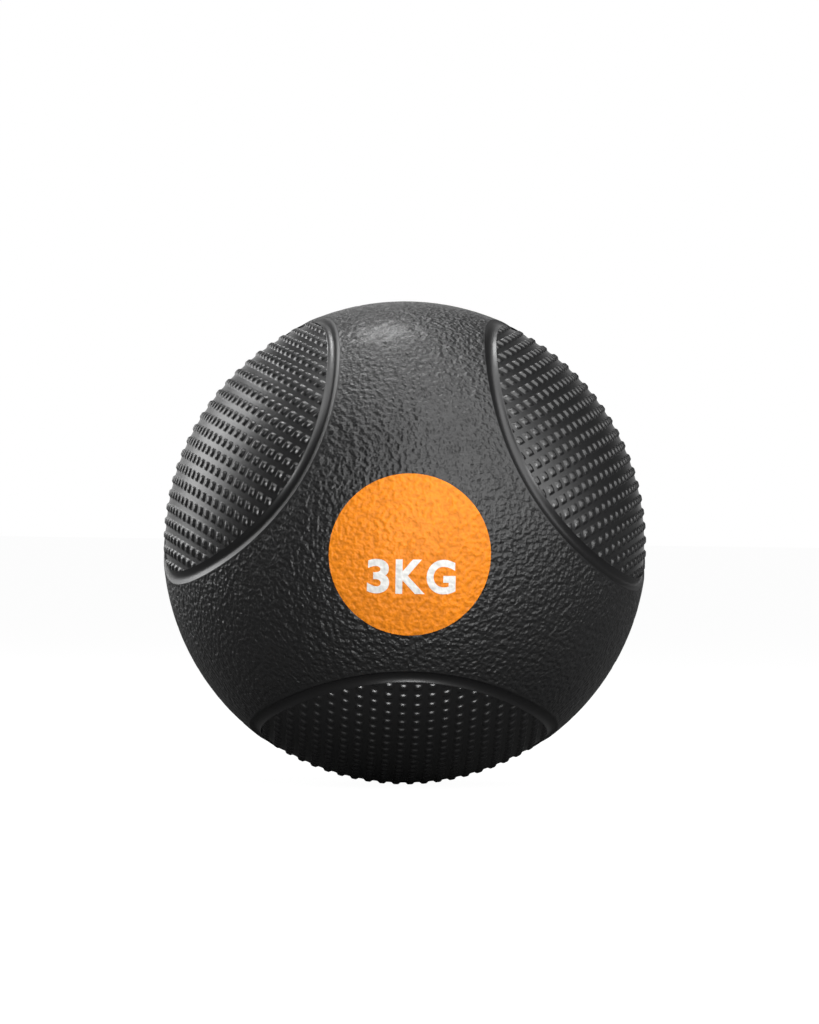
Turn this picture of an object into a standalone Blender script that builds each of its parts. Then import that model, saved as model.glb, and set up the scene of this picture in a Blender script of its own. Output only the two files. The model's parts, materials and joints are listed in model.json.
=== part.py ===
"""A 3 kg rubber medicine ball, built up in layers round an inflated bladder.

Frame: metres, the origin at the ball's centre, +Z up. The weight disc faces -Y.

The cover is laid out on a tetrahedron. Four grip fields sit on its faces: three round the
weight disc and one behind. Each field is a rounded triangle with a smooth groove round it,
and one pebbled web runs between all four. The three corners of a field point at junctions
of the web. The weight disc lies on the front junction and the valve on the top rear one.

A piece of the cover is first turned as a body of revolution about its field's axis. Then
its polar angles are stretched, so that its round rim becomes the rounded triangle.
"""

import math

import bmesh
import bpy
from mathutils import Matrix, Vector

# The ball
BALL_RADIUS = 0.1150
GAP = 0.0003  # between neighbouring pieces
LOOSE_GAP = 0.0007  # between the cover and the carcass, whose facets don't line up

# Layers, from the outside in
COVER_THICKNESS = 0.0030
CARCASS_THICKNESS = 0.0100
WINDING_THICKNESS = 0.0008
BLADDER_THICKNESS = 0.0015

# Grip fields and their grooves (angles in degrees about the field's own axis)
FIELD_ANGLE = 39.0  # mean polar angle of the groove's outer edge
LOBE_ANGLE = 1.25  # how much further it reaches at a corner, and less far between corners
GROOVE_WIDTH = 0.0063
GROOVE_DEPTH = 0.0013
GROOVE_LIP = 0.0007  # width of the plain lip on each side of the groove
GRIP_DROP = 0.0003  # how far the tops of the grip field lie below the web

# Weight disc and its figures
DISC_ANGLE = 18.7  # half the angle that the disc spans at the ball's centre
DISC_LEFT = 0.72  # degrees from the front junction
DISC_DOWN = 2.5
DISC_THICKNESS = 0.0016
FIGURE_THICKNESS = 0.0006
FIGURE_HEIGHT = 0.0157
FIGURE_RISE = -0.0098  # height of the figures' middle above the disc's centre
FIGURE_WEIGHT = 0.032  # thickening of the strokes, as a share of the letter size
POCKET_SPREAD = 0.010  # further thickening of a figure's pocket, for the gap round it
PRISM_DEPTH = 0.0120  # of the straight prism that a figure is cut from
FIGURES = {  # name: character, width, distance of its middle from the disc's centre
    "figure_3": ("3", 0.0100, -0.0143),
    "figure_k": ("K", 0.0133, 0.0002),
    "figure_g": ("G", 0.0132, 0.0142),
}

# Carcass joint and valve
LAP_LENGTH = 0.008  # how far the two carcass halves overlap at their stepped joint
VALVE_HOLE_RADIUS = 0.0063
STEM_RADIUS = 0.0060
FLANGE_RADIUS = 0.0140
FLANGE_THICKNESS = 0.0016
BOSS_RADIUS = 0.0075
BOSS_LENGTH = 0.0110
CORE_RADIUS = 0.0027
NEEDLE_RADIUS = 0.0006
NEEDLE_DEPTH = 0.0150
COLLAR_MOUTH_RADIUS = 0.0022
COLLAR_FLARE = 0.0008
COLLAR_CHAMFER = 0.0004

# How far cutters reach past the faces that they cut
CUTTER_RISE = 0.0020  # above the ball
CUTTER_DROP = 0.0050  # below the cover

# Facets
COVER_STEPS = 48  # a multiple of 6, so that neighbouring collars of the web share their points
COVER_RINGS = 4  # rings across a turned face of the cover
GRIP_RINGS = 5
GROOVE_RINGS = 5
SHELL_STEPS = 24
SHELL_RINGS = 12  # rings of a round shell from pole to pole
LETTER_STEPS = 3  # between two points of a figure's outline
SHARP_ANGLE = 30  # degrees between two faces, from which their edge stays sharp
MERGE_DISTANCE = 0.00001

# Angles of the layout and radii of the layers
TETRAHEDRON_ANGLE = math.degrees(math.acos(-1 / 3))  # between the axes of two fields
SIDE_TILT = 180 - TETRAHEDRON_ANGLE  # from the front junction to a field beside it
BRIDGE_ANGLE = TETRAHEDRON_ANGLE / 2  # from a field's axis to the middle of a bridge
GAP_ANGLE = math.degrees(GAP / BALL_RADIUS)
GROOVE_ANGLE = math.degrees(GROOVE_WIDTH / BALL_RADIUS)
WEB_START = FIELD_ANGLE + GAP_ANGLE
GRIP_END = FIELD_ANGLE - GROOVE_ANGLE - GAP_ANGLE

COVER_INNER = BALL_RADIUS - COVER_THICKNESS
CARCASS_OUTER = COVER_INNER - LOOSE_GAP
CARCASS_INNER = CARCASS_OUTER - CARCASS_THICKNESS
WINDING_OUTER = CARCASS_INNER - GAP
WINDING_INNER = WINDING_OUTER - WINDING_THICKNESS
BLADDER_OUTER = WINDING_INNER - GAP
BLADDER_INNER = BLADDER_OUTER - BLADDER_THICKNESS


def front_direction(tilt, clock):
    """Unit vector at a tilt from -Y, at a clock angle from +Z towards +X, in degrees."""
    tilt, clock = math.radians(tilt), math.radians(clock)
    across = math.sin(tilt)
    return Vector((across * math.sin(clock), -math.cos(tilt), across * math.cos(clock)))


FRONT = Vector((0, -1, 0))
UP = Vector((0, 0, 1))
FIELDS = {  # name: axis of the field, direction of one of its corners
    "front_left": (front_direction(SIDE_TILT, -60), FRONT),
    "front_right": (front_direction(SIDE_TILT, 60), FRONT),
    "bottom": (front_direction(SIDE_TILT, 180), FRONT),
    "back": (-FRONT, UP),
}
VALVE_AXIS = -FIELDS["bottom"][0]
DISC_AXIS = Vector((-math.sin(math.radians(DISC_LEFT)), -1, -math.sin(math.radians(DISC_DOWN))))

# Colour, roughness of each material
BLACK_RUBBER = (0.022, 0.022, 0.024, 1), 0.45
GROOVE_RUBBER = (0.018, 0.018, 0.020, 1), 0.38
ORANGE_RUBBER = (0.95, 0.29, 0.03, 1), 0.50
WHITE_RUBBER = (0.90, 0.89, 0.86, 1), 0.50
CARCASS_RUBBER = (0.050, 0.046, 0.043, 1), 0.70
NYLON = (0.72, 0.70, 0.62, 1), 0.60
BUTYL = (0.012, 0.012, 0.012, 1), 0.40


def clear_scene():
    for item in list(bpy.data.objects):
        bpy.data.objects.remove(item)


def new_collection(name):
    collection = bpy.data.collections.new(name)
    bpy.context.scene.collection.children.link(collection)
    return collection


def add_object(name, data, collection, turn=None):
    item = bpy.data.objects.new(name, data)
    collection.objects.link(item)
    if turn is not None:
        item.matrix_world = turn
    return item


def paint(item, finish):
    """Give a piece a material of its own."""
    colour, roughness = finish
    material = bpy.data.materials.new(item.name + "_material")
    material.use_nodes = True
    shader = material.node_tree.nodes["Principled BSDF"]
    shader.inputs["Base Color"].default_value = colour
    shader.inputs["Roughness"].default_value = roughness
    shader.inputs["Metallic"].default_value = 0
    item.data.materials.clear()
    item.data.materials.append(material)


def axis_turn(axis, toward):
    """Rotation that takes +Z to an axis, and +X as near as it can to a second direction."""
    z = Vector(axis).normalized()
    x = (Vector(toward) - Vector(toward).dot(z) * z).normalized()
    return Matrix((x, z.cross(x), z)).transposed().to_4x4()


def polar(angle, radius):
    """Point of a profile, at an angle from +Z in degrees."""
    angle = math.radians(angle)
    return radius * math.sin(angle), 0, radius * math.cos(angle)


def arc(start, end, radius, count):
    """Points of a profile along an arc about the ball's centre, in count equal steps."""
    return [polar(start + (end - start) * i / count, radius) for i in range(count + 1)]


def turned(name, profile, steps, collection, closed=False, turn=None):
    """Body of revolution about +Z. The profile runs down the body's outer side."""
    edges = [(i, i + 1) for i in range(len(profile) - 1)]
    if closed:
        edges.append((len(profile) - 1, 0))
    mesh = bpy.data.meshes.new(name)
    mesh.from_pydata(profile, edges, [])
    item = add_object(name, mesh, collection, turn)
    screw = item.modifiers.new("turn", "SCREW")
    screw.steps = steps
    screw.render_steps = steps
    screw.use_merge_vertices = True
    screw.merge_threshold = MERGE_DISTANCE
    return item


def evaluated_mesh(item):
    depsgraph = bpy.context.evaluated_depsgraph_get()
    return bpy.data.meshes.new_from_object(item.evaluated_get(depsgraph))


def smooth(mesh):
    mesh.shade_smooth()
    mesh.set_sharp_from_angle(angle=math.radians(SHARP_ANGLE))


def cell_edge(clock):
    """Polar angle where a field's share of the sphere ends, midway to its neighbours."""
    from_bridge = math.radians(math.degrees(clock) % 120 - 60)
    return math.degrees(math.atan(math.tan(math.radians(BRIDGE_ANGLE)) / math.cos(from_bridge)))


def lobed_angle(angle, clock):
    """Polar angle of a turned point once its ring has become a rounded triangle.

    The web's turned collars run from WEB_START to BRIDGE_ANGLE. They are stretched, so that
    they end where the next field's collar begins.
    """
    lobe = LOBE_ANGLE * math.cos(3 * clock) / FIELD_ANGLE
    if angle < WEB_START - GAP_ANGLE / 2:
        return angle * (1 + lobe)
    share = (angle - WEB_START) / (BRIDGE_ANGLE - WEB_START)
    return (1 - share) * WEB_START * (1 + lobe) + share * cell_edge(clock)


def lobed_mesh(item, name):
    """Mesh of a turned piece with its rings made into rounded triangles. The piece goes."""
    mesh = evaluated_mesh(item)
    bpy.data.objects.remove(item)
    for vertex in mesh.vertices:
        radius = vertex.co.length
        angle = math.degrees(math.acos(max(-1, min(1, vertex.co.z / radius))))
        clock = math.atan2(vertex.co.y, vertex.co.x)
        x, _, z = polar(lobed_angle(angle, clock), radius)
        vertex.co = (x * math.cos(clock), x * math.sin(clock), z)
    mesh.name = name
    return mesh


def boolean(item, cutter, operation="DIFFERENCE"):
    modifier = item.modifiers.new(cutter.name, "BOOLEAN")
    modifier.object = cutter
    modifier.operation = operation
    modifier.solver = "EXACT"


def hide_cutter(item):
    item.hide_render = True
    item.display_type = "WIRE"
    return item


def make_grip_panel(name, turn, parts):
    outer = arc(0, GRIP_END, BALL_RADIUS - GRIP_DROP, GRIP_RINGS)
    inner = arc(GRIP_END, 0, COVER_INNER, COVER_RINGS)
    blank = turned(name + "_blank", outer + inner, COVER_STEPS, parts)
    item = add_object(name, lobed_mesh(blank, name), parts, turn)
    smooth(item.data)
    paint(item, BLACK_RUBBER)


def make_groove_strip(name, turn, parts):
    """Smooth strip with a hollow groove along its outer face, between two narrow lips."""
    start = FIELD_ANGLE - GROOVE_ANGLE
    lip = math.degrees(GROOVE_LIP / BALL_RADIUS)
    hollow = GROOVE_ANGLE - 2 * lip
    face = [polar(start, BALL_RADIUS)]
    for i in range(GROOVE_RINGS + 1):
        share = i / GROOVE_RINGS
        depth = GROOVE_DEPTH * math.sin(math.pi * share) ** 2
        face.append(polar(start + lip + hollow * share, BALL_RADIUS - depth))
    face.append(polar(FIELD_ANGLE, BALL_RADIUS))
    back = arc(FIELD_ANGLE, start, COVER_INNER, 1)
    blank = turned(name + "_blank", face + back, COVER_STEPS, parts, closed=True)
    item = add_object(name, lobed_mesh(blank, name), parts, turn)
    smooth(item.data)
    paint(item, GROOVE_RUBBER)


def make_web(parts, cutters):
    """Pebbled cover between the fields: four stretched collars joined edge to edge."""
    profile = arc(BRIDGE_ANGLE, WEB_START, COVER_INNER, COVER_RINGS)
    profile += arc(WEB_START, BRIDGE_ANGLE, BALL_RADIUS, COVER_RINGS)
    blank = turned("collar_blank", profile, COVER_STEPS, parts)
    collar = lobed_mesh(blank, "collar")
    joined = bmesh.new()
    for axis, corner in FIELDS.values():
        placed = collar.copy()
        placed.transform(axis_turn(axis, corner))
        joined.from_mesh(placed)
        bpy.data.meshes.remove(placed)
    bmesh.ops.remove_doubles(joined, verts=joined.verts, dist=MERGE_DISTANCE)
    mesh = bpy.data.meshes.new("web_cover")
    joined.to_mesh(mesh)
    joined.free()
    bpy.data.meshes.remove(collar)
    smooth(mesh)
    item = add_object("web_cover", mesh, parts)
    paint(item, BLACK_RUBBER)

    floor = BALL_RADIUS - DISC_THICKNESS - GAP
    edge = DISC_ANGLE + GAP_ANGLE
    above = BALL_RADIUS + CUTTER_RISE
    pocket = arc(0, edge, above, COVER_RINGS) + arc(edge, 0, floor, COVER_RINGS)
    turn = axis_turn(DISC_AXIS, UP)
    boolean(item, hide_cutter(turned("disc_pocket", pocket, COVER_STEPS, cutters, turn=turn)))

    below = COVER_INNER - CUTTER_DROP
    hole = [
        (0, 0, above),
        (VALVE_HOLE_RADIUS, 0, above),
        (VALVE_HOLE_RADIUS, 0, below),
        (0, 0, below),
    ]
    turn = axis_turn(VALVE_AXIS, FRONT)
    boolean(item, hide_cutter(turned("valve_hole", hole, SHELL_STEPS, cutters, turn=turn)))


def disc_layer(name, outer, inner, collection):
    """Turned cap as wide as the weight disc, between two radii."""
    profile = arc(0, DISC_ANGLE, outer, COVER_RINGS) + arc(DISC_ANGLE, 0, inner, COVER_RINGS)
    return turned(name, profile, COVER_STEPS, collection, turn=axis_turn(DISC_AXIS, UP))


def figure_prism(name, figure, spread, collection):
    """One figure as a straight prism through the disc, its strokes spread on all sides."""
    character, width, along = FIGURES[figure]
    curve = bpy.data.curves.new(name, "FONT")
    curve.body = character
    curve.resolution_u = LETTER_STEPS
    curve.extrude = 1
    curve.offset = FIGURE_WEIGHT + spread
    text = add_object(name + "_text", curve, collection)
    mesh = evaluated_mesh(text)
    bpy.data.objects.remove(text)

    corners = [vertex.co.copy() for vertex in mesh.vertices]
    low = Vector([min(corner[i] for corner in corners) for i in range(3)])
    high = Vector([max(corner[i] for corner in corners) for i in range(3)])
    middle = (low + high) / 2
    scale_x = width / (high.x - low.x - 2 * spread)
    scale_y = FIGURE_HEIGHT / (high.y - low.y - 2 * spread)
    scale_z = PRISM_DEPTH / (high.z - low.z)
    for vertex in mesh.vertices:
        offset = vertex.co - middle
        vertex.co = (
            along + offset.x * scale_x,
            FIGURE_RISE + offset.y * scale_y,
            BALL_RADIUS + offset.z * scale_z,
        )
    solid = bmesh.new()
    solid.from_mesh(mesh)
    bmesh.ops.remove_doubles(solid, verts=solid.verts, dist=MERGE_DISTANCE)
    bmesh.ops.recalc_face_normals(solid, faces=solid.faces)
    solid.to_mesh(mesh)
    solid.free()
    mesh.name = name
    # The letters' own +Y is up the disc, and their +X is across it
    turn = axis_turn(DISC_AXIS, UP) @ Matrix.Rotation(math.radians(-90), 4, "Z")
    return add_object(name, mesh, collection, turn)


def make_disc(parts, cutters):
    """Orange disc, flush with the web, with pockets for its three white figures."""
    disc = disc_layer("weight_disc", BALL_RADIUS, BALL_RADIUS - DISC_THICKNESS, parts)
    paint(disc, ORANGE_RUBBER)
    skin = hide_cutter(
        disc_layer("figure_skin", BALL_RADIUS, BALL_RADIUS - FIGURE_THICKNESS, cutters)
    )
    deep = BALL_RADIUS - FIGURE_THICKNESS - GAP
    above = BALL_RADIUS + CUTTER_RISE
    pocket_skin = hide_cutter(disc_layer("pocket_skin", above, deep, cutters))
    for name in FIGURES:
        figure = figure_prism(name, name, 0, parts)
        boolean(figure, skin, "INTERSECT")
        paint(figure, WHITE_RUBBER)
        pocket = hide_cutter(figure_prism(name + "_pocket", name, POCKET_SPREAD, cutters))
        boolean(pocket, pocket_skin, "INTERSECT")
        boolean(disc, pocket)


def shell_arc(start, end, radius):
    """Arc of a round shell. Every shell has the same rings, so the gaps between them are even."""
    beside_flange = math.degrees(math.asin((FLANGE_RADIUS + GAP) / BLADDER_INNER))
    rings = [beside_flange] + [180 * i / SHELL_RINGS for i in range(1, SHELL_RINGS)]
    inside = sorted(ring for ring in rings if min(start, end) < ring < max(start, end))
    if start > end:
        inside.reverse()
    return [polar(angle, radius) for angle in [start, *inside, end]]


def hole_angle(radius):
    return math.degrees(math.asin(VALVE_HOLE_RADIUS / radius))


def make_carcass(parts, turn):
    """Two heavy halves that meet in a stepped lap joint halfway from the valve."""
    middle = (CARCASS_OUTER + CARCASS_INNER) / 2
    lap = math.degrees(LAP_LENGTH / 2 / middle)
    gap = math.degrees(GAP / middle)
    upper = shell_arc(hole_angle(CARCASS_OUTER), 90 + lap, CARCASS_OUTER)
    upper += arc(90 + lap, 90 - lap, middle + GAP / 2, 1)
    upper += shell_arc(90 - lap, hole_angle(CARCASS_INNER), CARCASS_INNER)
    item = turned("carcass_valve_half", upper, SHELL_STEPS, parts, closed=True, turn=turn)
    paint(item, CARCASS_RUBBER)

    lower = shell_arc(180, 90 - lap + gap, CARCASS_INNER)
    lower += arc(90 - lap + gap, 90 + lap + gap, middle - GAP / 2, 1)
    lower += shell_arc(90 + lap + gap, 180, CARCASS_OUTER)
    item = turned("carcass_far_half", lower, SHELL_STEPS, parts, turn=turn)
    paint(item, CARCASS_RUBBER)


def make_round_shell(name, outer, inner, finish, parts, turn):
    """Thin shell with one opening, at the valve."""
    profile = shell_arc(180, hole_angle(inner), inner) + shell_arc(hole_angle(outer), 180, outer)
    paint(turned(name, profile, SHELL_STEPS, parts, turn=turn), finish)


def make_valve(parts, turn):
    """Rubber seat held by the bladder, a soft core that the needle pierces, and a collar."""
    seat_top = CARCASS_OUTER - GAP
    flange_top = BLADDER_INNER - GAP
    flange_edge = math.sqrt(flange_top**2 - FLANGE_RADIUS**2)
    flange_neck = math.sqrt(flange_top**2 - VALVE_HOLE_RADIUS**2)
    flange_under = flange_edge - FLANGE_THICKNESS
    boss_end = flange_under - BOSS_LENGTH
    bore = CORE_RADIUS + GAP
    seat = [
        (bore, 0, seat_top),
        (STEM_RADIUS, 0, seat_top),
        (STEM_RADIUS, 0, flange_neck),
        (FLANGE_RADIUS, 0, flange_edge),
        (FLANGE_RADIUS, 0, flange_under),
        (BOSS_RADIUS, 0, flange_under),
        (BOSS_RADIUS, 0, boss_end + GAP),
        (BOSS_RADIUS - GAP, 0, boss_end),
        (bore, 0, boss_end),
    ]
    item = turned("valve_seat", seat, SHELL_STEPS, parts, closed=True, turn=turn)
    paint(item, BUTYL)

    core_top = seat_top - GAP
    needle_end = core_top - NEEDLE_DEPTH
    core = [
        (0, 0, needle_end),
        (NEEDLE_RADIUS, 0, needle_end + NEEDLE_RADIUS),
        (NEEDLE_RADIUS, 0, core_top - NEEDLE_RADIUS),
        (2 * NEEDLE_RADIUS, 0, core_top),
        (CORE_RADIUS - GAP, 0, core_top),
        (CORE_RADIUS, 0, core_top - GAP),
        (CORE_RADIUS, 0, boss_end + GAP),
        (CORE_RADIUS - GAP, 0, boss_end),
        (0, 0, boss_end),
    ]
    item = turned("valve_core", core, SHELL_STEPS, parts, turn=turn)
    paint(item, CARCASS_RUBBER)

    top, foot = BALL_RADIUS, seat_top + GAP
    collar = [
        (COLLAR_MOUTH_RADIUS, 0, top - COLLAR_FLARE),
        (COLLAR_MOUTH_RADIUS + COLLAR_FLARE, 0, top),
        (STEM_RADIUS - COLLAR_CHAMFER, 0, top),
        (STEM_RADIUS, 0, top - COLLAR_CHAMFER),
        (STEM_RADIUS, 0, foot),
        (COLLAR_MOUTH_RADIUS, 0, foot),
    ]
    item = turned("valve_collar", collar, SHELL_STEPS, parts, closed=True, turn=turn)
    paint(item, GROOVE_RUBBER)


def main():
    clear_scene()
    parts = new_collection("medicine_ball")
    cutters = new_collection("cutters")
    for field, (axis, corner) in FIELDS.items():
        turn = axis_turn(axis, corner)
        make_grip_panel("grip_panel_" + field, turn, parts)
        make_groove_strip("groove_strip_" + field, turn, parts)
    make_web(parts, cutters)
    make_disc(parts, cutters)

    turn = axis_turn(VALVE_AXIS, FRONT)
    make_carcass(parts, turn)
    make_round_shell("winding", WINDING_OUTER, WINDING_INNER, NYLON, parts, turn)
    make_round_shell("bladder", BLADDER_OUTER, BLADDER_INNER, BUTYL, parts, turn)
    make_valve(parts, turn)

    centre = add_object("ball_centre", None, parts)
    for item in parts.objects:
        if item is not centre:
            item.parent = centre


main()
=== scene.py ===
"""Looks of the 3 kg rubber medicine ball: moulded skins, finishes, studio and camera.

Frame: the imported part's own, metres, the ball's centre near the origin, +Z up. The weight
disc faces -Y. The cover's layout is the part's: four grip fields on a tetrahedron, each with
a smooth groove round it, and one pebbled web between them.

Each skin is first laid out as a mesh of directions from the ball's centre. It is trimmed
there, and then every point gets its radius from the skin's own relief.
"""

import json
import math

import bmesh
import bpy
import numpy as np
from mathutils import Matrix, Vector

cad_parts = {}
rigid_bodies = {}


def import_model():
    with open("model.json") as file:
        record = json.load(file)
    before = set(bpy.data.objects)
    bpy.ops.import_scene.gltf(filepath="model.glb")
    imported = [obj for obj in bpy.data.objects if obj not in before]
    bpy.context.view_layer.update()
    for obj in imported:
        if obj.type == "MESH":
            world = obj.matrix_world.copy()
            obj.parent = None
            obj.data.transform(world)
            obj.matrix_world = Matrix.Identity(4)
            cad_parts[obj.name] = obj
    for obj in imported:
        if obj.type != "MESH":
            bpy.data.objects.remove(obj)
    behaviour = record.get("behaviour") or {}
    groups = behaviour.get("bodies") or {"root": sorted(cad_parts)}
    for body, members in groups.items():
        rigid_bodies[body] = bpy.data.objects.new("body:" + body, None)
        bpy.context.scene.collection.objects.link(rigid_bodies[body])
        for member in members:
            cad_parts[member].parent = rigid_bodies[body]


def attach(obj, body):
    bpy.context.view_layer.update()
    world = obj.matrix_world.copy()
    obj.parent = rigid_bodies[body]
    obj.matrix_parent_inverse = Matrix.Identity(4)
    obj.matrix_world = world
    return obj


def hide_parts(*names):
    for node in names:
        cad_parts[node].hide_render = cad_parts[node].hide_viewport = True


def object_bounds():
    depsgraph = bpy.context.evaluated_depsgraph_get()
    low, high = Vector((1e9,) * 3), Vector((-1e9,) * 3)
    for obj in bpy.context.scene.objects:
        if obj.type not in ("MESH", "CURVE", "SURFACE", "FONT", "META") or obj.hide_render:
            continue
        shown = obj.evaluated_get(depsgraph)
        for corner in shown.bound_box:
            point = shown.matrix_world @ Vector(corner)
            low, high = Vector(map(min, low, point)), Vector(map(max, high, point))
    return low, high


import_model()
CAD_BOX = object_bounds()

# The ball, from the frame
BALL_RADIUS = max(CAD_BOX[1][i] - CAD_BOX[0][i] for i in range(3)) / 2

# Cover layout, the same as the part's (angles in degrees about a field's own axis)
FIELD_ANGLE = 39.0  # of a groove's outer edge, on average
LOBE_ANGLE = 1.25  # how much further that edge reaches at a corner
GROOVE_WIDTH = 0.0063
GROOVE_DEPTH = 0.0013
GRIP_DROP = 0.0003  # how far the tops of the lugs lie below the web

# Weight disc
DISC_ANGLE = 18.7  # half the angle that the disc spans at the ball's centre
DISC_LEFT = 0.72  # degrees from straight ahead
DISC_DOWN = 2.5
DISC_THICKNESS = 0.0014
DISC_GAP = 0.00005  # between the disc and the web
DISC_STEP = 0.0008  # of the disc's net
FIGURE_THICKNESS = 0.0006
FIGURE_HEIGHT = 0.0157
FIGURE_RISE = -0.0098  # height of the figures' middle above the disc's centre
FIGURE_WEIGHT = 0.032  # thickening of the strokes, as a share of the letter size
FIGURE_LIFT = 0.00003  # of the figures above the disc
FIGURE_REACH = 0.012  # of the prism that cuts a figure out, inwards and outwards
FIGURE_CURVE_STEPS = 8
FIGURES = {  # name: character, width, distance of its middle from the disc's centre
    "figure_3": ("3", 0.0100, -0.0143),
    "figure_k": ("K", 0.0133, 0.0002),
    "figure_g": ("G", 0.0132, 0.0142),
}

# Valve
VALVE_HOLE_RADIUS = 0.0063  # in the web
VALVE_RADIUS = 0.0060  # of the collar
VALVE_MOUTH = 0.0022  # radius of the hole in the collar
COLLAR_PROFILE = (  # radius, height above the web: up the outside, across, and down the mouth
    (VALVE_RADIUS, -0.0030),
    (VALVE_RADIUS, -0.0005),
    (VALVE_RADIUS - 0.0001, -0.0002),
    (VALVE_RADIUS - 0.0004, -0.00005),
    (VALVE_RADIUS - 0.0008, 0),
    (VALVE_MOUTH + 0.0012, 0),
    (VALVE_MOUTH + 0.0008, -0.0001),
    (VALVE_MOUTH + 0.0003, -0.0005),
    (VALVE_MOUTH, -0.0010),
    (VALVE_MOUTH, -0.0030),
)
COLLAR_AROUND = 96  # steps round the collar

# Grip lugs (angles in degrees)
COLUMN_PITCH = 3.35  # between the planes that the columns of lugs lie in
COLUMN_START = 0.58  # place of column 0, as a share of the pitch
BACK_COLUMN_START = 0.5  # the same in the field behind
ROW_PITCH = 2.78  # between the circles about the disc side's axis
FIRST_ROWS = {"front_left": 34.1, "front_right": 34.1, "bottom": 35.3, "back": 0}
COLUMNS = np.arange(-13, 13)  # more than a field holds, as are the rows
ROWS = np.arange(-2, 30)
BACK_ROWS = np.arange(-13, 14)
LATTICE_MARGIN = 6  # how far past a field's edge cells are laid out, to be trimmed
LUG_HEIGHT = 0.00095
LUG_BASE = (0.68, 0.70)  # a lug's width and length, as shares of its cell
LUG_TOP = 0.4  # size of its flat top, as a share of its base
LUG_RIDGE = 0.15  # share of the height that runs on along a column, between its lugs
LUG_SQUARENESS = 4.6  # 2 gives round lugs, and more gives squarer ones
LUG_SLOPE = 0.3  # share of a flank that is a straight slope, and the rest is softened
LUG_RINGS = (0.12, 0.25, 0.38, 0.51, 0.64, 0.77, 0.89, 1.0, 1.08)  # as shares of its base
LUG_SIDE = 4  # points along one side of a ring

# Grooves
GROOVE_ACROSS = 28  # steps across a groove
GROOVE_AROUND = 480
LIP_WIDTH = 0.0003  # of the rounding at each edge of a groove
LIP_DEPTH = 0.00012

# Web
RELIEF_PITCH = 0.0050  # length of an average wave of the coarse relief
RELIEF_HEIGHT = 0.00012
RELIEF_WAVES = 80
RELIEF_SEED = 7
RELIEF_SPREAD = (0.75, 1.2)  # slowest and fastest wave, as shares of the pitch's own
RELIEF_LEVELS = (-0.9, 0.5)  # of the summed waves, at the relief's bottom and top
PLAIN_EDGE = 0.0018  # width over which the grain fades out beside a groove
WEB_STEP_FRONT = 0.0008  # of the mesh
WEB_STEP_REAR = 0.0011
WEB_MIDDLE_ANGLE = 48  # where the steps round a field are as long as a web's step
WEB_SPARE_ANGLE = 4  # added to the web's least width, for the number of steps across

# Meshes
SKIRT_DEPTH = 0.0022  # how far the edge of a skin turns down
WELD_PRECISION = 50000  # steps per unit of a direction, within which points are one
TINY_EDGE = 0.000005  # longest edge that a skin does without
MERGE_DISTANCE = 0.000001  # between a figure's points that are made one
TOP_DEPTH = 0.0001  # below the ball's surface, within which a point is on top
SHARP_ANGLE = 60  # degrees between two faces, from which their edge stays sharp
DISC_SHARP_ANGLE = 45  # the same for the disc and its figures

# Finishes (sizes in metres)
BLACK = (0.0046, 0.0046, 0.0049)
ORANGE = (0.96, 0.275, 0.010)
WHITE = (0.88, 0.87, 0.84)
PLUG_BLACK = (0.02, 0.02, 0.02)
BUTYL_BLACK = (0.012, 0.012, 0.012)
CARCASS_GREY = (0.05, 0.046, 0.043)
NYLON_CREAM = (0.72, 0.70, 0.62)
GRAIN_SIZE = 0.0021
GRAIN_DEPTH = 0.0015
DISC_GRAIN_DEPTH = 0.0010
GRAIN_LEVELS = (0.3, 0.6)  # of the noise, in the grain's pits and on its heights
GRAIN_MIDDLE = 0.5  # level that the grain fades to
# Painted light: the colour is made lighter on the grain's heights, and darker in its pits as
# painted shade
CREST_PAINTED_LIGHT = 1.08  # of the colour, on the grain's heights
PIT_ROUGHNESS = 0.08  # added in the grain's pits
SKIN_SIZE = 0.0005  # of the finest roughness
SKIN_DEPTH = 0.00001
PATCH_SIZE = 0.035  # of the faint patches of colour and gloss
PATCH_LEVELS = (0.3, 0.7)
PATCH_ROUGHNESS = 0.03
COAT_WEIGHT = 0.15  # of the smooth skin over the web
COAT_ROUGHNESS = 0.2

# Camera, at the photo's angle (angles in degrees)
CAMERA_AZIMUTH = -1.95
CAMERA_ELEVATION = 0.18
CAMERA_ROLL = 0.845
CAMERA_DISTANCE = 20 * BALL_RADIUS
CAMERA_LENS = 169.9
CAMERA_SENSOR = 36
CAMERA_SHIFT = (4.6 / 1024, 31.2 / 1024)  # as shares of the picture's longer side

# Studio
LAMP_DISTANCE = 1.6
LAMPS = (  # name, direction to the right, up and towards the front, diameter in metres, watts
    ("key", (0.492, 0.590, 0.640), 1.9, 20.0),
    ("top", (-0.028, 0.991, 0.134), 1.7, 12.5),
    ("top_rear", (-0.086, 0.894, -0.440), 0.4, 6.2),
    ("rim_left", (-0.781, 0.365, -0.508), 1.1, 11.5),
    ("side_right", (0.908, 0.291, 0.302), 0.8, 2.4),
    ("front", (0.050, -0.010, 0.999), 0.3, 12.5),
)
STUDIO_FILL = 0.06  # of the surroundings, where they aren't the white background
WALL_BEHIND = (0.85, 0.98)  # share of a direction that is straight back, where white begins
FLOOR_BEHIND = (1.0, 5.0)  # the same for the floor, as a distance behind the ball
FLOOR_REACH = 40.0
FLOOR_SHADE = 0.12
FLOOR_GLOW = 0.97

# Angles that follow from those above, in degrees
TETRAHEDRON_ANGLE = math.degrees(math.acos(-1 / 3))  # between the axes of two fields
SIDE_TILT = 180 - TETRAHEDRON_ANGLE  # from straight ahead to a field beside the disc
BRIDGE_ANGLE = TETRAHEDRON_ANGLE / 2  # from a field's axis to the web's narrowest middle
GROOVE_ANGLE = math.degrees(GROOVE_WIDTH / BALL_RADIUS)


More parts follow.
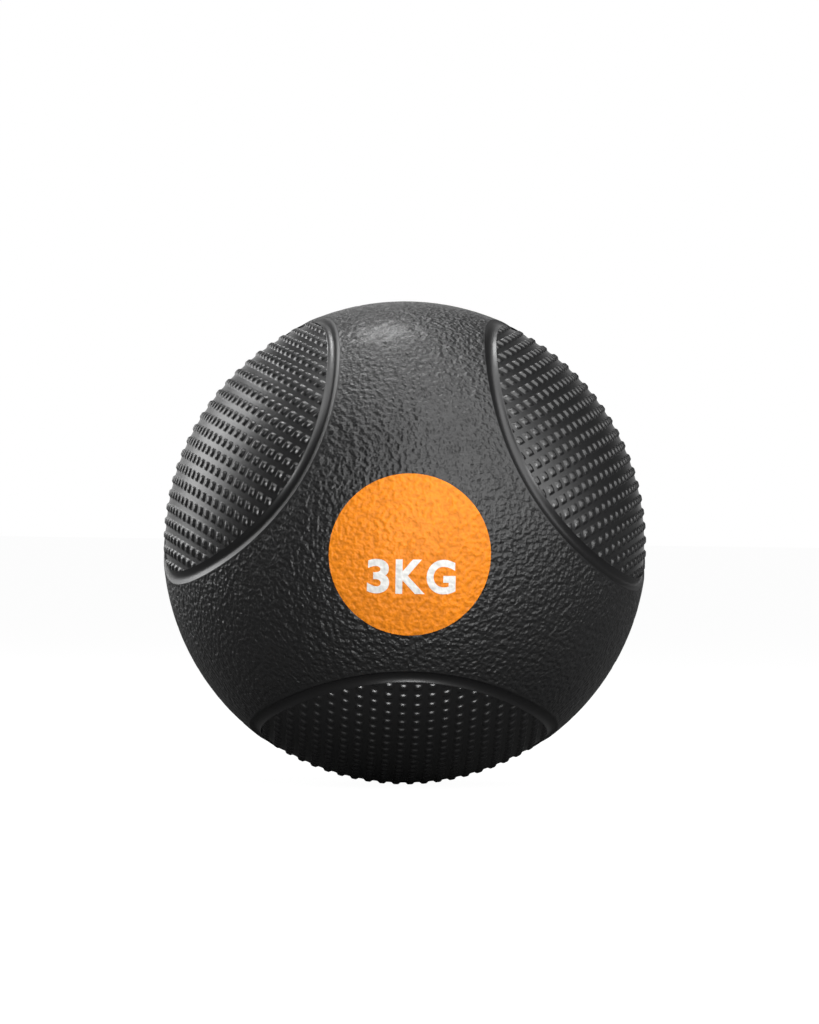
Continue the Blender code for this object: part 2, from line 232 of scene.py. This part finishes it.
def front_direction(tilt, clock):
    """Unit vector at a tilt from -Y, at a clock angle from +Z towards +X, in degrees."""
    tilt, clock = math.radians(tilt), math.radians(clock)
    across = math.sin(tilt)
    return Vector((across * math.sin(clock), -math.cos(tilt), across * math.cos(clock)))


FRONT = Vector((0, -1, 0))
UP = Vector((0, 0, 1))
FIELDS = {  # name: axis of the field, direction of one of its corners
    "front_left": (front_direction(SIDE_TILT, -60), FRONT),
    "front_right": (front_direction(SIDE_TILT, 60), FRONT),
    "bottom": (front_direction(SIDE_TILT, 180), FRONT),
    "back": (-FRONT, UP),
}
VALVE_AXIS = -FIELDS["bottom"][0]
DISC_AXIS = Vector((-math.sin(math.radians(DISC_LEFT)), -1, -math.sin(math.radians(DISC_DOWN))))


# Laying out directions


def axis_turn(axis, toward):
    """Rotation that takes +Z to an axis, and +X as near as it can to a second direction."""
    z = Vector(axis).normalized()
    x = (Vector(toward) - Vector(toward).dot(z) * z).normalized()
    return Matrix((x, z.cross(x), z)).transposed()


def turned_out(turn, angle, clock):
    """Directions at polar angles and clock angles, in radians, about a turned +Z."""
    local = [np.sin(angle) * np.cos(clock), np.sin(angle) * np.sin(clock), np.cos(angle)]
    return np.stack(local, -1).reshape(-1, 3) @ np.array(turn).T


def polar_of(turn, points):
    """Polar angle and clock angle of directions about a turned +Z, in radians."""
    local = points @ np.array(turn)
    return np.arccos(np.clip(local[:, 2], -1, 1)), np.arctan2(local[:, 1], local[:, 0])


def angle_from(axis, points):
    """Angle between an axis and each direction, in radians."""
    return np.arccos(np.clip(points @ np.array(Vector(axis).normalized()), -1, 1))


def lobed(angle, clock):
    """Radians of a rounded triangle whose mean polar angle is given in degrees."""
    return np.radians(angle * (1 + LOBE_ANGLE / FIELD_ANGLE * np.cos(3 * clock)))


def cell_edge(clock):
    """Radians where a field's share of the sphere ends, midway to its neighbours."""
    from_bridge = clock % math.radians(120) - math.radians(60)
    return np.arctan(math.tan(math.radians(BRIDGE_ANGLE)) / np.cos(from_bridge))


def smoothstep(value, low, high):
    """0 up to the low value and 1 from the high one, with a soft passage between them."""
    share = np.clip((value - low) / (high - low), 0, 1)
    return share * share * (3 - 2 * share)


def relief(points):
    """Height of the web's coarse relief, 0 to 1."""
    dice = np.random.default_rng(RELIEF_SEED)
    waves = dice.normal(size=(RELIEF_WAVES, 3))
    waves /= np.linalg.norm(waves, axis=1)[:, None]
    pace = dice.uniform(*RELIEF_SPREAD, RELIEF_WAVES)
    waves *= (2 * math.pi / RELIEF_PITCH * pace)[:, None]
    phases = dice.uniform(0, 2 * math.pi, RELIEF_WAVES)
    field = np.zeros(len(points))
    for wave, phase in zip(waves, phases):
        field += np.cos(points @ wave * BALL_RADIUS + phase)
    field /= math.sqrt(RELIEF_WAVES / 2)
    return smoothstep(field, *RELIEF_LEVELS)


# Meshes of directions


def grid_faces(rows, columns, closed):
    """Quads of a grid of points, row after row, whose last column may meet its first."""
    faces = []
    for i in range(rows - 1):
        low, high = i * columns, (i + 1) * columns
        for j in range(columns if closed else columns - 1):
            k = (j + 1) % columns
            faces.append((low + j, low + k, high + k, high + j))
    return faces


def trimmed(points, faces, side):
    """What of a mesh lies where side() is below zero, cut along the line where it is zero."""
    values = side(points).tolist()
    cuts = {}
    extra = []

    def cut(a, b):
        key = (min(a, b), max(a, b))
        if key not in cuts:
            share = values[key[0]] / (values[key[0]] - values[key[1]])
            middle = points[key[0]] * (1 - share) + points[key[1]] * share
            cuts[key] = len(points) + len(extra)
            extra.append(middle / np.linalg.norm(middle))
        return cuts[key]

    kept = []
    for face in faces:
        inside = [values[corner] < 0 for corner in face]
        if all(inside):
            kept.append(face)
        elif any(inside):
            corners = []
            for a, b in zip(face, face[1:] + face[:1]):
                if values[a] < 0:
                    corners.append(a)
                if (values[a] < 0) != (values[b] < 0):
                    corners.append(cut(a, b))
            kept.append(tuple(corners))
    if extra:
        points = np.vstack([points, extra])
    return points, kept


def welded(points, faces):
    """The mesh with points that coincide made one, and unused points left out."""
    keys = np.round(points * WELD_PRECISION).astype(np.int64)
    _, first, inverse = np.unique(keys, axis=0, return_index=True, return_inverse=True)
    inverse = inverse.reshape(-1)
    faces = [tuple(inverse[list(face)]) for face in faces]
    faces = [face for face in faces if len(set(face)) > 2]
    used = sorted({corner for face in faces for corner in face})
    order = np.zeros(len(first), dtype=np.int64)
    order[used] = np.arange(len(used))
    return points[first][used], [tuple(int(order[corner]) for corner in face) for face in faces]


# Objects


def add_object(name, data):
    item = bpy.data.objects.new(name, data)
    bpy.context.scene.collection.objects.link(item)
    return item


def evaluated_mesh(item):
    """New mesh of an object as its modifiers leave it."""
    depsgraph = bpy.context.evaluated_depsgraph_get()
    return bpy.data.meshes.new_from_object(item.evaluated_get(depsgraph))


def shade(mesh, sharp_angle):
    mesh.shade_smooth()
    mesh.set_sharp_from_angle(angle=math.radians(sharp_angle))


def dress(item, replaces):
    """Make a piece ride on the ball in place of the part's own nodes."""
    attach(item, "root")
    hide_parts(*replaces)


def add_skin(name, points, faces, radius, replaces, grain=None):
    """Object from a mesh of directions and their radii, its open edges turned down."""
    mesh = bpy.data.meshes.new(name)
    mesh.from_pydata((points * radius[:, None]).tolist(), [], faces)
    if grain is not None:
        mesh.attributes.new("grain", "FLOAT", "POINT").data.foreach_set("value", grain)
    work = bmesh.new()
    work.from_mesh(mesh)
    bmesh.ops.dissolve_degenerate(work, edges=work.edges, dist=TINY_EDGE)
    rim = [edge for edge in work.edges if edge.is_boundary]
    wall = bmesh.ops.extrude_edge_only(work, edges=rim)["geom"]
    for vertex in wall:
        if isinstance(vertex, bmesh.types.BMVert):
            vertex.co *= 1 - SKIRT_DEPTH / vertex.co.length
    bmesh.ops.recalc_face_normals(work, faces=work.faces)
    work.to_mesh(mesh)
    work.free()
    shade(mesh, SHARP_ANGLE)
    dress(add_object(name, mesh), replaces)


# Grip fields


def front_grid(axis):
    """Turns (column, row) angles in radians into directions, for a field beside the disc."""
    away = (axis - axis.dot(FRONT) * FRONT).normalized()
    across = FRONT.cross(away)

    def place(column, row):
        x = np.sin(column)
        z = np.sqrt(np.maximum(np.sin(row) ** 2 - x * x, 0))
        return (
            np.cos(row)[:, None] * np.array(FRONT)
            + x[:, None] * np.array(across)
            + z[:, None] * np.array(away)
        )

    def find(points):
        return np.arcsin(points @ np.array(across)), np.arccos(points @ np.array(FRONT))

    return place, find


def back_grid():
    """The same for the field behind: two sets of planes along the ball's front to back."""
    def place(column, row):
        x = np.sin(column)
        z = np.sin(row)
        return np.stack([-x, np.sqrt(np.maximum(1 - x * x - z * z, 0)), z], -1)

    def find(points):
        return np.arcsin(-points[:, 0]), np.arcsin(points[:, 2])

    return place, find


def lug_template():
    """Points and faces of one lug in its cell, -1 to 1 each way: rings of rectangles."""
    side = [(-1 + 2 * i / LUG_SIDE, -1) for i in range(LUG_SIDE)]
    ring = list(side)
    for _ in range(3):
        side = [(-v, u) for u, v in side]
        ring += side
    points = [(0, 0)]
    faces = []
    count = len(ring)
    sizes = [(size * LUG_BASE[0], size * LUG_BASE[1]) for size in LUG_RINGS] + [(1, 1)]
    for level, (wide, long) in enumerate(sizes):
        start = 1 + level * count
        points += [(wide * u, long * v) for u, v in ring]
        for i in range(count):
            k = (i + 1) % count
            if level == 0:
                faces.append((0, start + i, start + k))
            else:
                faces.append((start - count + i, start + i, start + k, start - count + k))
    return np.array(points), faces


def flank(out):
    """Share of a lug's height at a share of its way out: a flat top and a softened slope."""
    share = np.clip((1 - out) / (1 - LUG_TOP), 0, 1)
    return LUG_SLOPE * share + (1 - LUG_SLOPE) * smoothstep(share, 0, 1)


def lug_relief(u, v):
    """Height of the lugs above the ground, at cell coordinates that are odd at the borders."""
    a = np.abs((u + 1) % 2 - 1) / LUG_BASE[0]
    b = np.abs((v + 1) % 2 - 1) / LUG_BASE[1]
    out = (a ** LUG_SQUARENESS + b ** LUG_SQUARENESS) ** (1 / LUG_SQUARENESS)
    return LUG_HEIGHT * (LUG_RIDGE * flank(a) + (1 - LUG_RIDGE) * flank(out))


def grip_lattice(axis, lay, columns, rows):
    """Cells that cover one field, with a lug in each: their directions and faces."""
    template, template_faces = lug_template()
    cells = []
    faces = []
    for i in columns:
        for j in rows:
            cell = lay(i + template[:, 0] / 2, j + template[:, 1] / 2)
            if angle_from(axis, cell[0]) < math.radians(FIELD_ANGLE + LATTICE_MARGIN):
                base = len(cells) * len(template)
                faces += [tuple(base + point for point in face) for face in template_faces]
                cells.append(cell)
    points = np.vstack(cells)
    points /= np.linalg.norm(points, axis=1)[:, None]
    return welded(points, faces)


def make_grip(name, axis, corner):
    """Skin of one grip field: a lattice of lugs, trimmed at the groove."""
    back = name == "back"
    place, find = back_grid() if back else front_grid(axis)
    first_column = BACK_COLUMN_START if back else COLUMN_START
    first_row = FIRST_ROWS[name]
    row_pitch = COLUMN_PITCH if back else ROW_PITCH
    turn = axis_turn(axis, corner)

    def lay(i, j):
        return place(np.radians(i * COLUMN_PITCH), np.radians(first_row + j * row_pitch))

    def beyond_rim(points):
        angle, clock = polar_of(turn, points)
        return angle - lobed(FIELD_ANGLE - GROOVE_ANGLE, clock)

    points, faces = grip_lattice(axis, lay, COLUMNS + first_column, BACK_ROWS if back else ROWS)
    points, faces = trimmed(points, faces, beyond_rim)
    points, faces = welded(points, faces)
    column, row = find(points)
    u = (np.degrees(column) / COLUMN_PITCH - first_column) * 2
    v = (np.degrees(row) - first_row) / row_pitch * 2
    radius = BALL_RADIUS - GRIP_DROP - LUG_HEIGHT + lug_relief(u, v)
    add_skin("grip_skin_" + name, points, faces, radius, ["grip_panel_" + name])


# Grooves


def make_groove(name, axis, corner):
    """Skin of one groove: a round gutter whose inner edge is as low as the lugs' tops."""
    turn = axis_turn(axis, corner)
    clock = np.arange(GROOVE_AROUND) / GROOVE_AROUND * 2 * math.pi
    points = []
    radii = []
    for i in range(GROOVE_ACROSS + 1):
        share = i / GROOVE_ACROSS
        depth = GROOVE_DEPTH * (1 - (2 * share - 1) ** 2) + GRIP_DROP * share
        edge = min(share, 1 - share) * GROOVE_WIDTH
        depth += LIP_DEPTH * max(0, 1 - edge / LIP_WIDTH) ** 2
        points.append(turned_out(turn, lobed(FIELD_ANGLE - GROOVE_ANGLE * share, clock), clock))
        radii.append(np.full(GROOVE_AROUND, BALL_RADIUS - depth))
    add_skin(
        "groove_skin_" + name, np.vstack(points),
        grid_faces(GROOVE_ACROSS + 1, GROOVE_AROUND, True), np.concatenate(radii),
        ["groove_strip_" + name],
    )


# Web


def web_mesh(step):
    """Directions over the whole web: four collars that end midway to their neighbours."""
    round_middle = 2 * math.pi * BALL_RADIUS * math.sin(math.radians(WEB_MIDDLE_ANGLE))
    around = 6 * round(round_middle / step / 6)
    width = math.radians(BRIDGE_ANGLE + WEB_SPARE_ANGLE - FIELD_ANGLE) * BALL_RADIUS
    across = round(width / step)
    clock = np.arange(around) / around * 2 * math.pi
    collar_faces = grid_faces(across + 1, around, True)
    points = []
    faces = []
    for axis, corner in FIELDS.values():
        turn = axis_turn(axis, corner)
        base = len(points) * around
        faces += [tuple(base + point for point in face) for face in collar_faces]
        for i in range(across + 1):
            share = i / across
            angle = (1 - share) * lobed(FIELD_ANGLE, clock) + share * cell_edge(clock)
            points.append(turned_out(turn, angle, clock))
    return welded(np.vstack(points), faces)


def beyond_fields(points):
    """Radians from each direction of the web to the nearest groove's edge."""
    nearest = np.full(len(points), math.pi)
    for axis, corner in FIELDS.values():
        angle, clock = polar_of(axis_turn(axis, corner), points)
        nearest = np.minimum(nearest, angle - lobed(FIELD_ANGLE, clock))
    return nearest


def make_web():
    """Skins of the web's front and rear half, with a hole for the disc and for the valve."""
    halves = (  # name, step, side of the ball, axis and angle of the hole
        ("front", WEB_STEP_FRONT, 1, DISC_AXIS, math.radians(DISC_ANGLE)),
        ("rear", WEB_STEP_REAR, -1, VALVE_AXIS, math.asin(VALVE_HOLE_RADIUS / BALL_RADIUS)),
    )
    for name, step, sign, hole_axis, hole_angle in halves:
        points, faces = web_mesh(step)
        points, faces = trimmed(points, faces, lambda p: sign * p[:, 1])
        points, faces = trimmed(points, faces, lambda p: hole_angle - angle_from(hole_axis, p))
        points, faces = welded(points, faces)
        grain = smoothstep(beyond_fields(points) * BALL_RADIUS, 0, PLAIN_EDGE)
        radius = BALL_RADIUS - RELIEF_HEIGHT * grain * (1 - relief(points))
        add_skin("web_skin_" + name, points, faces, radius, ["web_cover"], grain)


# Disc and figures


def disc_slab(name, thickness, step):
    """Solid cap as wide as the disc, from a fine square net trimmed to a circle."""
    turn = axis_turn(DISC_AXIS, UP)
    count = 2 * math.ceil(math.radians(DISC_ANGLE) * BALL_RADIUS / step)
    line = (np.arange(count + 1) - count / 2) * step / BALL_RADIUS
    x, y = np.meshgrid(line, line)
    points = turned_out(turn, np.hypot(x, y), np.arctan2(y, x))
    faces = grid_faces(count + 1, count + 1, False)
    edge = math.radians(DISC_ANGLE) - DISC_GAP / BALL_RADIUS
    points, faces = trimmed(points, faces, lambda p: angle_from(DISC_AXIS, p) - edge)
    points, faces = welded(points, faces)
    mesh = bpy.data.meshes.new(name)
    mesh.from_pydata((points * BALL_RADIUS).tolist(), [], faces)
    work = bmesh.new()
    work.from_mesh(mesh)
    below = bmesh.ops.extrude_face_region(work, geom=work.faces[:])["geom"]
    for vertex in below:
        if isinstance(vertex, bmesh.types.BMVert):
            vertex.co *= 1 - thickness / BALL_RADIUS
    bmesh.ops.recalc_face_normals(work, faces=work.faces)
    work.to_mesh(mesh)
    work.free()
    return add_object(name, mesh)


def figure_prism(name):
    """One figure as a straight prism through the disc."""
    character, width, along = FIGURES[name]
    curve = bpy.data.curves.new(name + "_text", "FONT")
    curve.body = character
    curve.resolution_u = FIGURE_CURVE_STEPS
    curve.extrude = 1
    curve.offset = FIGURE_WEIGHT
    text = add_object(name + "_text", curve)
    mesh = evaluated_mesh(text)
    bpy.data.objects.remove(text)
    corners = np.array([vertex.co for vertex in mesh.vertices])
    low, high = corners.min(axis=0), corners.max(axis=0)
    size = Vector((width, FIGURE_HEIGHT, 2 * FIGURE_REACH))
    for vertex, corner in zip(mesh.vertices, (corners - (low + high) / 2) / (high - low)):
        vertex.co = (
            along + corner[0] * size.x,
            FIGURE_RISE + corner[1] * size.y,
            BALL_RADIUS + corner[2] * size.z,
        )
    work = bmesh.new()
    work.from_mesh(mesh)
    bmesh.ops.remove_doubles(work, verts=work.verts, dist=MERGE_DISTANCE)
    bmesh.ops.recalc_face_normals(work, faces=work.faces)
    work.to_mesh(mesh)
    work.free()
    prism = add_object(name + "_prism", mesh)
    # The letters' own +Y is up the disc, and their +X is across it
    turn = axis_turn(DISC_AXIS, UP).to_4x4() @ Matrix.Rotation(math.radians(-90), 4, "Z")
    prism.matrix_world = turn
    return prism


def block_round_ball():
    """Box larger than all else, for cleaning a prism by an intersection with it."""
    block = add_object("block", bpy.data.meshes.new("block"))
    work = bmesh.new()
    bmesh.ops.create_cube(work, size=4 * BALL_RADIUS)
    work.to_mesh(block.data)
    work.free()
    return block


def cut_with(item, cutter, operation):
    modifier = item.modifiers.new(cutter.name, "BOOLEAN")
    modifier.object = cutter
    modifier.operation = operation
    modifier.solver = "EXACT"
    return modifier


def settle(item, lift):
    """Apply the cuts, then give the top of the piece the web's relief."""
    bpy.context.view_layer.update()
    mesh = evaluated_mesh(item)
    item.modifiers.clear()
    item.data = mesh
    points = np.array([vertex.co for vertex in mesh.vertices])
    radius = np.linalg.norm(points, axis=1)
    points /= radius[:, None]
    height = relief(points)
    top = radius > BALL_RADIUS - TOP_DEPTH
    radius = np.where(top, radius - RELIEF_HEIGHT * (1 - height) + lift, radius)
    for vertex, place in zip(mesh.vertices, points * radius[:, None]):
        vertex.co = place
    shade(mesh, DISC_SHARP_ANGLE)


def make_disc():
    """Orange disc, flush with the web, and the white figures let into it."""
    disc = disc_slab("disc_skin", DISC_THICKNESS, DISC_STEP)
    block = block_round_ball()
    prisms = []
    for name in FIGURES:
        prism = figure_prism(name)
        # The thickened strokes overlap a little in their corners: this makes one body of them
        cut_with(prism, block, "INTERSECT").use_self = True
        figure = disc_slab(name + "_skin", FIGURE_THICKNESS, DISC_STEP)
        cut_with(figure, prism, "INTERSECT")
        cut_with(disc, prism, "DIFFERENCE")
        prisms.append(prism)
        settle(figure, FIGURE_LIFT)
        dress(figure, [name])
    settle(disc, 0)
    dress(disc, ["weight_disc"])
    for spare in prisms + [block]:
        bpy.data.objects.remove(spare)


# Valve


def make_valve():
    """Collar of the valve: a ring with rounded edges and a funnel, turned about its axis."""
    points = []
    faces = []
    count = len(COLLAR_PROFILE)
    for i in range(COLLAR_AROUND):
        clock = 2 * math.pi * i / COLLAR_AROUND
        for radius, height in COLLAR_PROFILE:
            points.append((
                radius * math.cos(clock), radius * math.sin(clock), BALL_RADIUS + height,
            ))
        k = (i + 1) % COLLAR_AROUND
        for j in range(count):
            n = (j + 1) % count
            faces.append((i * count + j, k * count + j, k * count + n, i * count + n))
    mesh = bpy.data.meshes.new("collar_skin")
    mesh.from_pydata(points, [], faces)
    mesh.transform(axis_turn(VALVE_AXIS, FRONT).to_4x4())
    shade(mesh, SHARP_ANGLE)
    dress(add_object("collar_skin", mesh), ["valve_collar"])


# Finishes


def node(tree, kind, inputs=None, **settings):
    """New node of a tree, with its settings and inputs. An input is a value or a socket."""
    item = tree.nodes.new("ShaderNode" + kind)
    for key, value in settings.items():
        setattr(item, key, value)
    for key, value in (inputs or {}).items():
        if isinstance(value, bpy.types.NodeSocket):
            tree.links.new(value, item.inputs[key])
        else:
            item.inputs[key].default_value = value
    return item


def noise(tree, place, size, detail, roughness):
    """Noise whose features are about a given size in metres."""
    inputs = {"Vector": place, "Scale": 1 / size, "Detail": detail, "Roughness": roughness}
    return node(tree, "TexNoise", inputs).outputs["Fac"]


def remap(tree, value, levels, low, high):
    """A value turned in proportion from its two levels to a low and a high value."""
    inputs = {
        "Value": value, "From Min": levels[0], "From Max": levels[1],
        "To Min": low, "To Max": high,
    }
    return node(tree, "MapRange", inputs).outputs["Result"]


def math_node(tree, operation, *values):
    return node(tree, "Math", dict(enumerate(values)), operation=operation).outputs[0]


def moulded_grain(tree, place, fades):
    """Noise of the moulded grain. Where it fades, it follows the mesh's own attribute."""
    grain = noise(tree, place, GRAIN_SIZE, detail=1, roughness=0.35)
    if fades:
        share = node(tree, "Attribute", attribute_name="grain").outputs["Fac"]
        faded = {"Factor": share, "A": GRAIN_MIDDLE, "B": grain}
        grain = node(tree, "Mix", faded).outputs["Result"]
    return grain


def moulded_rubber(
    name, colour, roughness, grain_depth=0, mottle=0.18, pit_painted_shade=0.72, specular=0.5,
    fades=False,
):
    """Rubber with a fine skin, faint patches, and a moulded grain where that has a depth.

    mottle is how far the patches stray from the colour, and pit_painted_shade is the share of
    it that is left in the grain's pits, as painted shade; the grain's heights get painted
    light.
    """
    material = bpy.data.materials.new(name)
    material.use_nodes = True
    tree = material.node_tree
    shader = tree.nodes["Principled BSDF"]
    place = node(tree, "TexCoord").outputs["Object"]
    skin = noise(tree, place, SKIN_SIZE, detail=2, roughness=0.6)
    patches = noise(tree, place, PATCH_SIZE, detail=3, roughness=0.6)
    height = math_node(tree, "MULTIPLY", skin, SKIN_DEPTH)
    tone = remap(tree, patches, PATCH_LEVELS, 1 - mottle, 1 + mottle)
    gloss = remap(
        tree, patches, PATCH_LEVELS, roughness + PATCH_ROUGHNESS, roughness - PATCH_ROUGHNESS,
    )
    if grain_depth:
        grain = moulded_grain(tree, place, fades)
        rise = math_node(tree, "MULTIPLY", grain, grain_depth)
        height = math_node(tree, "ADD", height, rise)
        # Painted shade and painted light: the colour is darker in the grain's pits and lighter
        # on its heights
        pits = remap(tree, grain, GRAIN_LEVELS, pit_painted_shade, CREST_PAINTED_LIGHT)
        tone = math_node(tree, "MULTIPLY", tone, pits)
        dull = remap(tree, grain, GRAIN_LEVELS, PIT_ROUGHNESS, 0)
        gloss = math_node(tree, "ADD", gloss, dull)
    bump = node(tree, "Bump", {"Height": height, "Distance": 1.0, "Strength": 1.0})
    tint = node(tree, "VectorMath", {0: colour, "Scale": tone}, operation="SCALE")
    tree.links.new(tint.outputs[0], shader.inputs["Base Color"])
    tree.links.new(gloss, shader.inputs["Roughness"])
    tree.links.new(bump.outputs["Normal"], shader.inputs["Normal"])
    shader.inputs["Specular IOR Level"].default_value = specular
    return material


def web_rubber():
    """Grained matt rubber under a thin smooth skin, which gives it its sparkle."""
    material = moulded_rubber(
        "web_rubber", BLACK, roughness=0.47, grain_depth=GRAIN_DEPTH, specular=0.8, fades=True,
    )
    shader = material.node_tree.nodes["Principled BSDF"]
    shader.inputs["Coat Weight"].default_value = COAT_WEIGHT
    shader.inputs["Coat Roughness"].default_value = COAT_ROUGHNESS
    return material


def grip_rubber():
    return moulded_rubber("grip_rubber_finish", BLACK, roughness=0.38, specular=1.0)


def groove_rubber():
    return moulded_rubber("groove_rubber_finish", BLACK, roughness=0.38, specular=0.8)


def orange_rubber():
    return moulded_rubber(
        "orange", ORANGE, roughness=0.5, grain_depth=DISC_GRAIN_DEPTH,
        mottle=0.05, pit_painted_shade=0.82, specular=0.3,
    )


def white_rubber():
    return moulded_rubber(
        "white", WHITE, roughness=0.5, grain_depth=DISC_GRAIN_DEPTH / 2,
        mottle=0.02, pit_painted_shade=0.93, specular=0.3,
    )


def collar_rubber():
    return moulded_rubber("valve", BLACK, roughness=0.45)


def plug_rubber():
    return moulded_rubber("valve_plug", PLUG_BLACK, roughness=0.5)


def seat_rubber():
    return moulded_rubber("seat", BLACK, roughness=0.5)


def carcass_rubber():
    return moulded_rubber("carcass", CARCASS_GREY, roughness=0.7)


def butyl_rubber():
    return moulded_rubber("butyl", BUTYL_BLACK, roughness=0.4)


def nylon():
    return moulded_rubber("nylon", NYLON_CREAM, roughness=0.6)


FINISHES = {  # how the names of the pieces start: what makes their material
    "web_skin": web_rubber,
    "grip_skin": grip_rubber,
    "groove_skin": groove_rubber,
    "disc_skin": orange_rubber,
    "figure": white_rubber,
    "collar_skin": collar_rubber,
    "valve_core": plug_rubber,
    "valve_seat": seat_rubber,
    "carcass": carcass_rubber,
    "bladder": butyl_rubber,
    "winding": nylon,
}


def finish_all():
    """Give each piece, and each node that the CAD model lends the scene, its material."""
    for start, make_material in FINISHES.items():
        material = make_material()
        for item in bpy.data.objects:
            if item.type == "MESH" and item.name.startswith(start):
                item.data.materials.clear()
                item.data.materials.append(material)


# Camera and studio


def place_camera():
    azimuth = math.radians(CAMERA_AZIMUTH)
    elevation = math.radians(CAMERA_ELEVATION)
    back = Vector((
        math.sin(azimuth) * math.cos(elevation),
        -math.cos(azimuth) * math.cos(elevation),
        math.sin(elevation),
    ))
    data = bpy.data.cameras.new("camera")
    data.lens = CAMERA_LENS
    data.sensor_width = CAMERA_SENSOR
    data.shift_x, data.shift_y = CAMERA_SHIFT
    camera = add_object("camera", data)
    camera.location = back * CAMERA_DISTANCE
    camera.rotation_mode = "QUATERNION"
    roll = Matrix.Rotation(math.radians(CAMERA_ROLL), 3, "Z").to_quaternion()
    camera.rotation_quaternion = back.to_track_quat("Z", "Y") @ roll
    bpy.context.scene.camera = camera


def add_lamp(name, direction, diameter, power):
    """Soft round lamp that faces the ball from a direction to the right, up and forward."""
    data = bpy.data.lights.new(name, "AREA")
    data.shape = "DISK"
    data.size = diameter
    data.energy = power
    lamp = add_object(name, data)
    right, up, forward = direction
    where = Vector((right, -forward, up)).normalized()
    lamp.location = where * LAMP_DISTANCE
    lamp.rotation_mode = "QUATERNION"
    lamp.rotation_quaternion = where.to_track_quat("Z", "Y")


def seen_white(tree, behind):
    """How white a ray finds the studio: all of it for the camera, and for glossy and
    transmission rays what is behind the ball, where the background of the picture is."""
    path = node(tree, "LightPath").outputs
    mirrored = math_node(tree, "MAXIMUM", path["Is Glossy Ray"], path["Is Transmission Ray"])
    mirrored = math_node(tree, "MULTIPLY", mirrored, behind)
    return math_node(tree, "MAXIMUM", path["Is Camera Ray"], mirrored)


def floor_finish():
    """Pale floor that holds a soft shadow, with enough glow to be white in the picture."""
    material = bpy.data.materials.new("floor")
    material.use_nodes = True
    tree = material.node_tree
    tree.nodes.clear()
    place = node(tree, "NewGeometry").outputs["Position"]
    depth = node(tree, "SeparateXYZ", {"Vector": place}).outputs["Y"]
    behind = remap(tree, depth, FLOOR_BEHIND, 0, 1)
    strength = math_node(tree, "MULTIPLY", seen_white(tree, behind), FLOOR_GLOW)
    diffuse = node(tree, "BsdfDiffuse", {"Color": (FLOOR_SHADE, FLOOR_SHADE, FLOOR_SHADE, 1)})
    glow = node(tree, "Emission", {"Strength": strength})
    both = node(tree, "AddShader", {0: diffuse.outputs[0], 1: glow.outputs[0]})
    node(tree, "OutputMaterial", {"Surface": both.outputs[0]})
    return material


def make_floor():
    far = FLOOR_REACH
    low = CAD_BOX[0][2]
    corners = [(-far, -far, low), (far, -far, low), (far, far, low), (-far, far, low)]
    mesh = bpy.data.meshes.new("floor")
    mesh.from_pydata(corners, [], [(0, 1, 2, 3)])
    mesh.materials.append(floor_finish())
    add_object("floor", mesh)


def make_surroundings():
    """World that fills the shadows a little, and is white where the picture shows it."""
    world = bpy.data.worlds.new("studio")
    bpy.context.scene.world = world
    world.use_nodes = True
    tree = world.node_tree
    direction = node(tree, "TexCoord").outputs["Generated"]
    depth = node(tree, "SeparateXYZ", {"Vector": direction}).outputs["Y"]
    behind = remap(tree, depth, WALL_BEHIND, 0, 1)
    strength = remap(tree, seen_white(tree, behind), (0, 1), STUDIO_FILL, 1)
    background = tree.nodes["Background"]
    tree.links.new(strength, background.inputs["Strength"])
    background.inputs["Color"].default_value = (1, 1, 1, 1)


for field_name, (field_axis, field_corner) in FIELDS.items():
    make_grip(field_name, field_axis, field_corner)
    make_groove(field_name, field_axis, field_corner)
make_web()
make_disc()
make_valve()
finish_all()
place_camera()
make_floor()
make_surroundings()
for lamp_name, lamp_direction, lamp_diameter, lamp_power in LAMPS:
    add_lamp(lamp_name, lamp_direction, lamp_diameter, lamp_power)
bpy.context.scene.view_settings.view_transform = "Standard"
